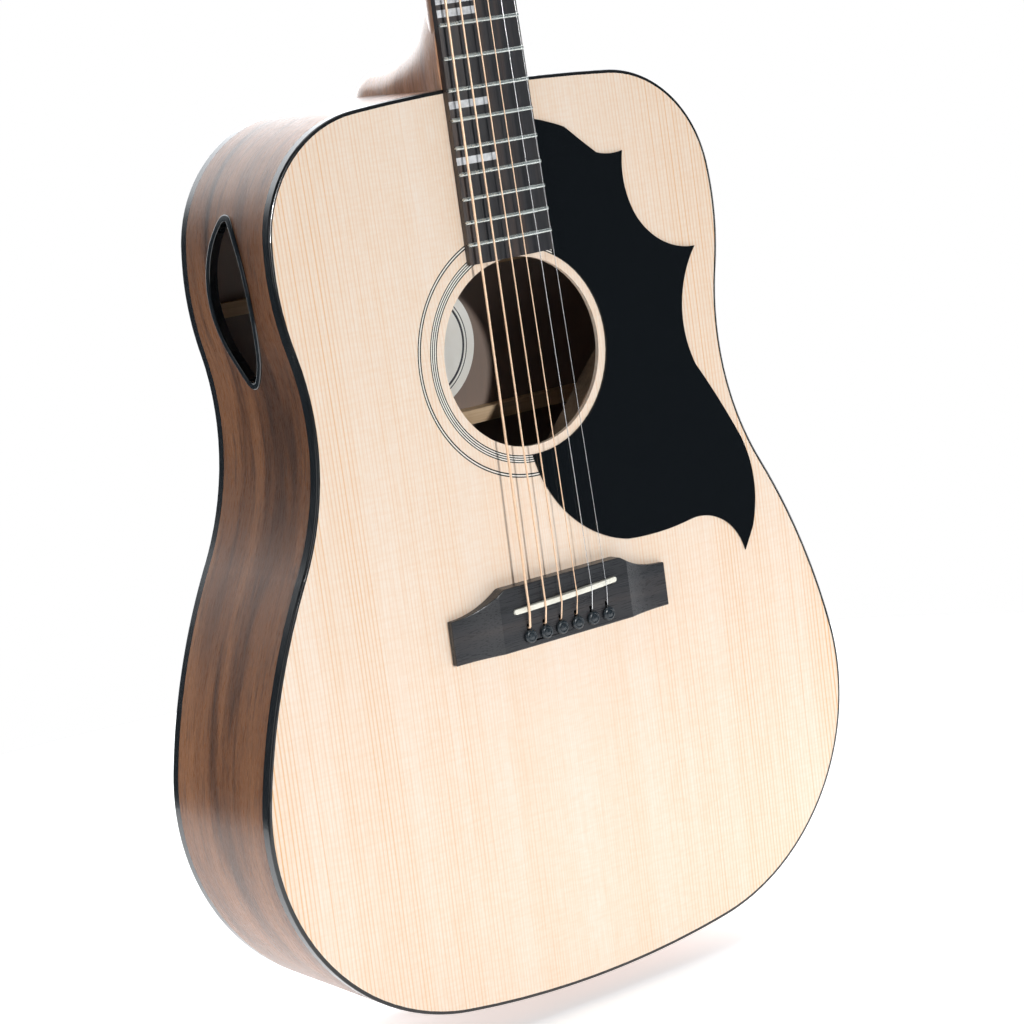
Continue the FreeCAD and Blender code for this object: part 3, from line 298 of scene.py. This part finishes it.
def makeOpenWood(name, tones, figure, pores, roughness=0.42, coat=0.25, offset=(0, 0, 0), mirrorX=False,
                 poreDepth=0.6, rawInside=None):
    material, tree, shader = startMaterial(name, tones["middle"], roughness, coat=coat, coatRoughness=0.22)
    flow = objectCoords(tree, scale=figure, offset=offset, mirrorX=mirrorX)
    broad = noise(tree, flow, scale=1.0, detail=4, roughness=0.55, distortion=0.6)
    streak = noise(tree, flow, scale=3.1, detail=6, roughness=0.68, distortion=0.25)
    pore = noise(tree, objectCoords(tree, scale=pores, mirrorX=mirrorX), detail=2, roughness=0.5)
    base = ramp(tree, broad, [(0.32, tones["dark"]), (0.46, tones["middle"]), (0.66, tones["light"])])
    streaked = mixColors(tree, mapRange(tree, streak, 0.50, 0.72, 0.0, 0.7), base, tones["dark"])
    thread = noise(tree, flow, scale=9.5, detail=4, roughness=0.6, distortion=0.15)
    threaded = mixColors(tree, mapRange(tree, thread, 0.56, 0.66, 0.0, 0.5), streaked, tones["dark"])
    pored = mixColors(tree, mapRange(tree, pore, 0.56, 0.68, 0.0, poreDepth), threaded, tones["dark"])
    if rawInside:  # unvarnished and paler on the face that looks into the body
        facingIn = splitCoords(tree, place(tree, "ShaderNodeTexCoord").outputs["Normal"])[1]
        inside = mapRange(tree, facingIn, 0.0, -0.5, 0.0, 0.8)
        pored = mixColors(tree, inside, pored, rawInside)
    tree.links.new(pored, shader.inputs["Base Color"])
    sheen = mapRange(tree, pore, 0.4, 0.7, roughness * 0.9, roughness * 1.35)
    tree.links.new(sheen, shader.inputs["Roughness"])
    bump(tree, shader, calculate(tree, "SUBTRACT", 1.0, pore), 0.16, 0.0003)
    return material


def makePlain(name, color, roughness, metallic=0.0, coat=0.0, spread=0.06, scale=90, bumpStrength=0.05):
    material, tree, shader = startMaterial(name, color, roughness, metallic, coat)
    cloud = noise(tree, objectCoords(tree), scale=scale, detail=5)
    darker = tuple(channel * (1 - spread * 3) for channel in color)
    tree.links.new(ramp(tree, cloud, [(0.3, darker), (0.7, color)]), shader.inputs["Base Color"])
    sheen = mapRange(tree, cloud, 0.3, 0.7, roughness * 0.85, roughness * 1.2)
    tree.links.new(sheen, shader.inputs["Roughness"])
    bump(tree, shader, cloud, bumpStrength, 0.0002)
    return material


def makeWire(name, color, groove, roughness, metallic):
    material, tree, shader = startMaterial(name, color, roughness, metallic)
    tarnish = noise(tree, objectCoords(tree), scale=60, detail=4)
    turns = place(tree, "ShaderNodeTexWave", Scale=90.0, Distortion=0.4)
    turns.bands_direction = "Z"
    tree.links.new(objectCoords(tree), turns.inputs["Vector"])
    wound = mixColors(tree, mapRange(tree, turns.outputs["Fac"], 0.0, 0.6, 0.12, 0.0), color, groove)
    tarnished = mixColors(tree, mapRange(tree, tarnish, 0.45, 0.75, 0.0, 0.4), wound, groove)
    tree.links.new(tarnished, shader.inputs["Base Color"])
    bump(tree, shader, turns.outputs["Fac"], 0.05, 0.00005)
    return material


def fromHoleCentre(tree):
    spot = splitCoords(tree, objectCoords(tree, offset=(0, 0, -rosetteLines["centre"])))
    upSquared = calculate(tree, "MULTIPLY", spot[2], spot[2])
    return calculate(tree, "SQRT", calculate(tree, "MULTIPLY_ADD", spot[0], spot[0], upSquared))


# rosette: seven fine lines in the inner ring, three in the outer, black first and last
rosetteLines = {
    "centre": 0.3563,
    "inner": (0.0562, 0.0043 / 7),
    "outer": (0.0663, 0.0021 / 3),
    "black": (0.012, 0.012, 0.013),
    "white": (0.86, 0.83, 0.76),
}


def makeRosette(name, settings):
    material, tree, shader = startMaterial(name, settings["black"], 0.32, coat=0.4)
    reach = fromHoleCentre(tree)
    counts = []
    for start, pitch in (settings["inner"], settings["outer"]):
        counts.append(calculate(tree, "DIVIDE", calculate(tree, "SUBTRACT", reach, start), pitch))
    isOuter = calculate(tree, "GREATER_THAN", reach, 0.063)
    change = calculate(tree, "SUBTRACT", counts[1], counts[0])
    count = calculate(tree, "MULTIPLY_ADD", isOuter, change, counts[0])
    remainder = calculate(tree, "MODULO", calculate(tree, "ABSOLUTE", count), 2.0)
    isWhite = calculate(tree, "GREATER_THAN", remainder, 1.0)
    grain = noise(tree, objectCoords(tree), scale=700, detail=2)
    yellowed = mapRange(tree, grain, 0.3, 0.7, 0.0, 0.25)
    white = mixColors(tree, yellowed, settings["white"], (0.70, 0.64, 0.54))
    tree.links.new(mixColors(tree, isWhite, settings["black"], white), shader.inputs["Base Color"])
    bump(tree, shader, isWhite, 0.1, 0.0001)
    return material


# label: cream paper with a fine double ring
labelPrint = {
    "paper": (0.90, 0.90, 0.86),
    "aged": (0.80, 0.77, 0.68),
    "ink": (0.05, 0.05, 0.06),
    "rings": ((0.0300, 0.0007), (0.0322, 0.0003)),  # radius and half width of each
}


def makeLabel(name, settings):
    material, tree, shader = startMaterial(name, settings["paper"], 0.7)
    reach = fromHoleCentre(tree)
    stain = noise(tree, objectCoords(tree), scale=40, detail=5)
    paper = mixColors(tree, mapRange(tree, stain, 0.4, 0.7, 0.0, 0.6), settings["paper"], settings["aged"])
    for radius, half in settings["rings"]:
        away = calculate(tree, "ABSOLUTE", calculate(tree, "SUBTRACT", reach, radius))
        inked = calculate(tree, "LESS_THAN", away, half)
        paper = mixColors(tree, inked, paper, settings["ink"])
    tree.links.new(paper, shader.inputs["Base Color"])
    fibres = noise(tree, objectCoords(tree), scale=2500, detail=2)
    bump(tree, shader, fibres, 0.15, 0.0001)
    return material


def dress(material, *names):
    for name in names:
        nodes[name].data.materials.clear()
        nodes[name].data.materials.append(material)


spruceTop = makeSpruce("spruceTop", spruce)
walnutSide = makeOpenWood("walnutSide", walnut, (3.2, 34, 3.2), (140, 2400, 140), roughness=0.29, coat=0.0)
walnutBack = makeOpenWood("walnutBack", walnutDeep, (38, 1, 1.8), (2600, 10, 130), roughness=0.34, coat=0.0,
                          offset=(3, 0, 1), mirrorX=True, rawInside=(0.27, 0.22, 0.19), poreDepth=0.45)
blackBinding = makePlain("blackBinding", (0.008, 0.009, 0.010), 0.22, coat=0.3)
trimBlack = makePlain("trimBlack", (0.008, 0.009, 0.010), 0.16, coat=0.6)
guardBlack = makePlain("guardBlack", (0.004, 0.005, 0.006), 0.07, spread=0.02, bumpStrength=0.004)
pinBlack = makePlain("pinBlack", (0.013, 0.020, 0.026), 0.27, coat=0.2)
ebonyBoard = makeOpenWood("ebonyBoard", ebonyTones, (95, 60, 3.2), (2200, 2200, 60), roughness=0.34,
                          coat=0.1, poreDepth=0.5)
ebonyBridge = makeOpenWood("ebonyBridge", bridgeTones, (2.2, 40, 60), (60, 2200, 2200), roughness=0.30,
                           coat=0.0, poreDepth=0.5)
mahogany = makeOpenWood("mahogany", mahoganyAndSheenTones, (40, 40, 4), (1500, 1500, 70), roughness=0.26, coat=0.8)
bracePaintedShade = makeOpenWood("bracePaintedShade", paintedShadeBraceTones, (3, 50, 50), (40, 1200, 1200), roughness=0.7, coat=0.0)
braceWood = makeOpenWood("braceWood", braceTones, (3, 50, 50), (40, 1200, 1200), roughness=0.6, coat=0.0,
                         poreDepth=0.25)
bone = makePlain("bone", (0.87, 0.85, 0.74), 0.28, coat=0.3)
fretMetal = makePlain("fretMetal", (0.70, 0.74, 0.70), 0.26, metallic=0.75)
steel = makePlain("steel", (0.62, 0.61, 0.58), 0.3, metallic=1.0)
chrome = makePlain("chrome", (0.75, 0.75, 0.76), 0.10, metallic=1.0, bumpStrength=0.01)
brassNut = makePlain("brassNut", (0.62, 0.43, 0.16), 0.3, metallic=1.0)
pearl = makePlain("pearl", (0.74, 0.76, 0.78), 0.2, coat=0.6, spread=0.14, scale=260)
labelPaper = makeLabel("labelPaper", labelPrint)
rosetteRings = makeRosette("rosetteRings", rosetteLines)
bronzeWire = makeWire("bronzeWire", (0.96, 0.68, 0.47), (0.78, 0.46, 0.26), 0.38, 0.35)
plainWire = makeWire("plainWire", (0.86, 0.86, 0.87), (0.70, 0.71, 0.73), 0.22, 0.65)
floorPaint = makePlain("floorPaint", studio["floorColor"], 0.7, spread=0.004, scale=3, bumpStrength=0.0)
floorShader = floorPaint.node_tree.nodes["Principled BSDF"]
floorShader.inputs["Emission Color"].default_value = (*studio["floorColor"], 1)
floorShader.inputs["Emission Strength"].default_value = studio["floorGlow"]
floor.data.materials.append(floorPaint)

dress(spruceTop, "soundboard")
dress(walnutSide, "side_bass", "side_treble")
dress(walnutBack, "back")
dress(blackBinding, "binding_top", "binding_back")
dress(trimBlack, "port_trim")
dress(rosetteRings, "rosette")
dress(pinBlack, *[f"bridge_pin_{i}" for i in range(1, 7)])
dress(guardBlack, "pickguard", "truss_rod_cover")
dress(ebonyBridge, "bridge")
dress(ebonyBoard, "fingerboard", "head_veneer")
# the neck, heel and blocks take the lifted mahogany tones: painted sheen over the wood's own colour
dress(mahogany, "neck", "neck_block", "tail_block")
dress(braceWood, "back_braces", "back_seam_strip", "lining_back", "bridge_plate")
# the braces and lining under the top take the darker copy of the brace wood: painted shade
dress(bracePaintedShade, "x_brace", "tone_bars", "finger_braces", "upper_transverse_brace", "lining_top")
dress(bone, "saddle", "nut")
dress(fretMetal, "frets")
dress(steel, "truss_rod")
dress(brassNut, "truss_rod_nut")
dress(chrome, "headstock_screws", "end_button", "tuner_housings", "tuner_bushings",
      *[f"tuner_post_{i}" for i in range(1, 7)], *[f"tuner_knob_{i}" for i in range(1, 7)])
dress(pearl, "fret_inlays")
dress(labelPaper, "label")
dress(bronzeWire, *[f"string_{i}" for i in range(1, 5)])
dress(plainWire, "string_5", "string_6")
print("materials on")

# pieces with their edges eased as a maker would: node, body, record slot, rounding, segments
easedEdges = {
    "rounded": 32,  # edges sharper than this, in degrees, are rounded
    "creased": 13,  # the bridge's edges sharper than this stay crisp in the shading
    "merged": 0.000005,
    "flat": 0.5,  # facets that turn less than this are joined first
    "pieces": [
        ("bridge", "guitar", "ebony", 0.0006, 3),
        ("saddle", "guitar", "bone", 0.0005, 2),
        ("nut", "guitar", "bone", 0.0003, 2),
        ("head_veneer", "guitar", "ebony", 0.0004, 2),
        ("truss_rod_cover", "guitar", "guard_plastic", 0.0004, 2),
        ("tuner_housings", "guitar", "chrome", 0.0014, 3),
        ("tuner_bushings", "guitar", "chrome", 0.0003, 2),
        ("headstock_screws", "guitar", "chrome", 0.0004, 2),
        ("end_button", "guitar", "chrome", 0.0005, 3),
    ] + [(f"tuner_knob_{i}", f"knob_{i}", "chrome", 0.0016, 4) for i in range(1, 7)]
      + [(f"tuner_post_{i}", f"post_{i}", "chrome", 0.0003, 2) for i in range(1, 7)],
}


def makeActive(piece):
    deselectAll()
    piece.select_set(True)
    bpy.context.view_layer.objects.active = piece


def easeEdges(node, body, slot, width, segments):
    creased = easedEdges["creased"] if node == "bridge" else easedEdges["rounded"]
    piece = bpy.data.objects.new(node + "_eased", nodes[node].data.copy())
    bpy.context.scene.collection.objects.link(piece)
    makeActive(piece)
    bpy.ops.object.mode_set(mode="EDIT")
    bpy.ops.mesh.select_all(action="SELECT")
    bpy.ops.mesh.remove_doubles(threshold=easedEdges["merged"])
    bpy.ops.mesh.dissolve_limited(angle_limit=math.radians(easedEdges["flat"]))
    bpy.ops.object.mode_set(mode="OBJECT")
    rounding = piece.modifiers.new("rounding", "BEVEL")
    rounding.width = width
    rounding.segments = segments
    rounding.limit_method = "ANGLE"
    rounding.angle_limit = math.radians(easedEdges["rounded"])
    rounding.use_clamp_overlap = False
    bpy.ops.object.modifier_apply(modifier="rounding")
    bpy.ops.object.shade_smooth_by_angle(angle=math.radians(creased))
    piece.modifiers.new("evenShading", "WEIGHTED_NORMAL").keep_sharp = True
    bpy.ops.object.modifier_apply(modifier="evenShading")
    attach(piece, body)
    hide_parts(node)
    return piece


for settings in easedEdges["pieces"]:
    easeEdges(*settings)
print("edges eased")

# strings: straight runs from the ball ends to the posts, then turns round each post
neck = {
    "foot": (0, -0.0501, 0.5006),
    "lean": -1.06,
    "headFoot": (0, 0, 0.35462),
    "headLean": -15,
}
neckFrame = Matrix.Translation(neck["foot"]) @ Matrix.Rotation(math.radians(neck["lean"]), 4, "X")
headTurn = Matrix.Rotation(math.radians(neck["headLean"]), 4, "X")
headFrame = neckFrame @ Matrix.Translation(neck["headFoot"]) @ headTurn
strings = {
    "diameters": (0.00135, 0.00107, 0.00081, 0.00061, 0.00041, 0.00030),
    "posts": ((-0.0205, 0.050), (-0.0215, 0.088), (-0.0225, 0.126),
              (0.0225, 0.126), (0.0215, 0.088), (0.0205, 0.050)),
    "postNumbers": (1, 2, 3, 6, 5, 4),
    "pinGap": 0.0108,
    "nutGap": 0.0072,
    "pinZ": 0.2046,
    "pinNotch": 0.0041,
    "ballY": -0.047,
    "bridgeTop": -0.0628,
    "saddleZ": 0.2194,
    "saddleLean": 2.3,
    "saddleTop": -0.0654,
    "saddleGap": 0.0001,
    "nutTop": -0.0068,
    "nutZ": 0.34862,
    "nutBreak": 0.0015,
    "boardArch": 0.305,
    "postRadius": 0.00305,
    "holeY": -0.0144,
    "landY": -0.009,
    "turns": 4,
    "turnSteps": 20,
    "turnPitch": 1.02,
    "bends": (0.0012, 0.0015, 0.0015),
    "throughPost": ((-0.0022, 0), (0.0022, 0), (0.0055, 0.0005)),  # outward, and further out of the head
}


def roundedRoute(corners, reaches, steps=6):
    route = [corners[0]]
    for before, corner, after, reach in zip(corners, corners[1:], corners[2:], reaches):
        first = corner + (before - corner).normalized() * reach
        last = corner + (after - corner).normalized() * reach
        for step in range(steps + 1):
            t = step / steps
            route.append(first * (1 - t) ** 2 + corner * 2 * t * (1 - t) + last * t ** 2)
    return route + [corners[-1]]


def wireMesh(name, route, radius, material):
    curve = bpy.data.curves.new(name, "CURVE")
    curve.dimensions = "3D"
    curve.bevel_depth = radius
    curve.bevel_resolution = 3
    curve.use_fill_caps = True
    spline = curve.splines.new("POLY")
    spline.points.add(len(route) - 1)
    for knot, spot in zip(spline.points, route):
        knot.co = (*spot, 1)
    piece = bpy.data.objects.new(name, curve)
    bpy.context.scene.collection.objects.link(piece)
    makeActive(piece)
    bpy.ops.object.convert(target="MESH")
    piece = bpy.context.object
    bpy.ops.object.mode_set(mode="EDIT")
    bpy.ops.mesh.select_all(action="SELECT")
    bpy.ops.mesh.remove_doubles(threshold=0.000001)
    bpy.ops.mesh.normals_make_consistent(inside=False)
    bpy.ops.object.mode_set(mode="OBJECT")
    bpy.ops.object.shade_smooth()
    piece.data.materials.clear()
    piece.data.materials.append(material)
    return piece


def makeString(index):
    diameter = strings["diameters"][index]
    radius = diameter / 2
    pinX = (index - 2.5) * strings["pinGap"]
    nutX = (index - 2.5) * strings["nutGap"]
    postX, postZ = strings["posts"][index]
    hand = -1 if index < 3 else 1
    material = bronzeWire if index < 4 else plainWire
    notchZ = strings["pinZ"] + strings["pinNotch"] + radius
    saddleY = strings["saddleTop"] + pinX ** 2 / (2 * strings["boardArch"]) - radius - strings["saddleGap"]
    saddleZ = strings["saddleZ"] + pinX * math.tan(math.radians(strings["saddleLean"]))
    nutY = strings["nutTop"] + nutX ** 2 / (2 * strings["boardArch"]) - radius
    reach = strings["postRadius"] + radius
    landY = strings["landY"] + 1.5 * diameter
    corners = [
        Vector((pinX, strings["ballY"], notchZ)),
        Vector((pinX, strings["bridgeTop"] - radius, notchZ)),
        Vector((pinX, saddleY, saddleZ)),
        neckFrame @ Vector((nutX, nutY, strings["nutZ"] + strings["nutBreak"])),
        headFrame @ Vector((postX - hand * reach, landY, postZ)),
    ]
    rounded = roundedRoute(corners, strings["bends"])
    run = wireMesh(f"string_run_{index + 1}", rounded, radius, material)
    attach(run, "guitar")
    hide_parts(f"string_{index + 1}")
    route = []
    steps = strings["turnSteps"]
    lift = diameter * strings["turnPitch"]
    rise = strings["holeY"] - (landY - strings["turns"] * lift)
    for step in range((strings["turns"] + 1) * steps + 1):
        turned = step / steps
        angle = -hand * 2 * math.pi * turned
        climb = min(turned, strings["turns"]) * -lift + max(0.0, turned - strings["turns"]) * rise
        sideways = hand * reach * math.cos(angle)
        route.append(Vector((postX - sideways, landY + climb, postZ - hand * reach * math.sin(angle))))
    for outward, further in strings["throughPost"]:
        route.append(Vector((postX + hand * outward, strings["holeY"] - further, postZ)))
    wraps = wireMesh(f"string_wraps_{index + 1}", [headFrame @ spot for spot in route], radius, material)
    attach(wraps, f"post_{strings['postNumbers'][index]}")


for index in range(6):
    makeString(index)
print("strings strung")
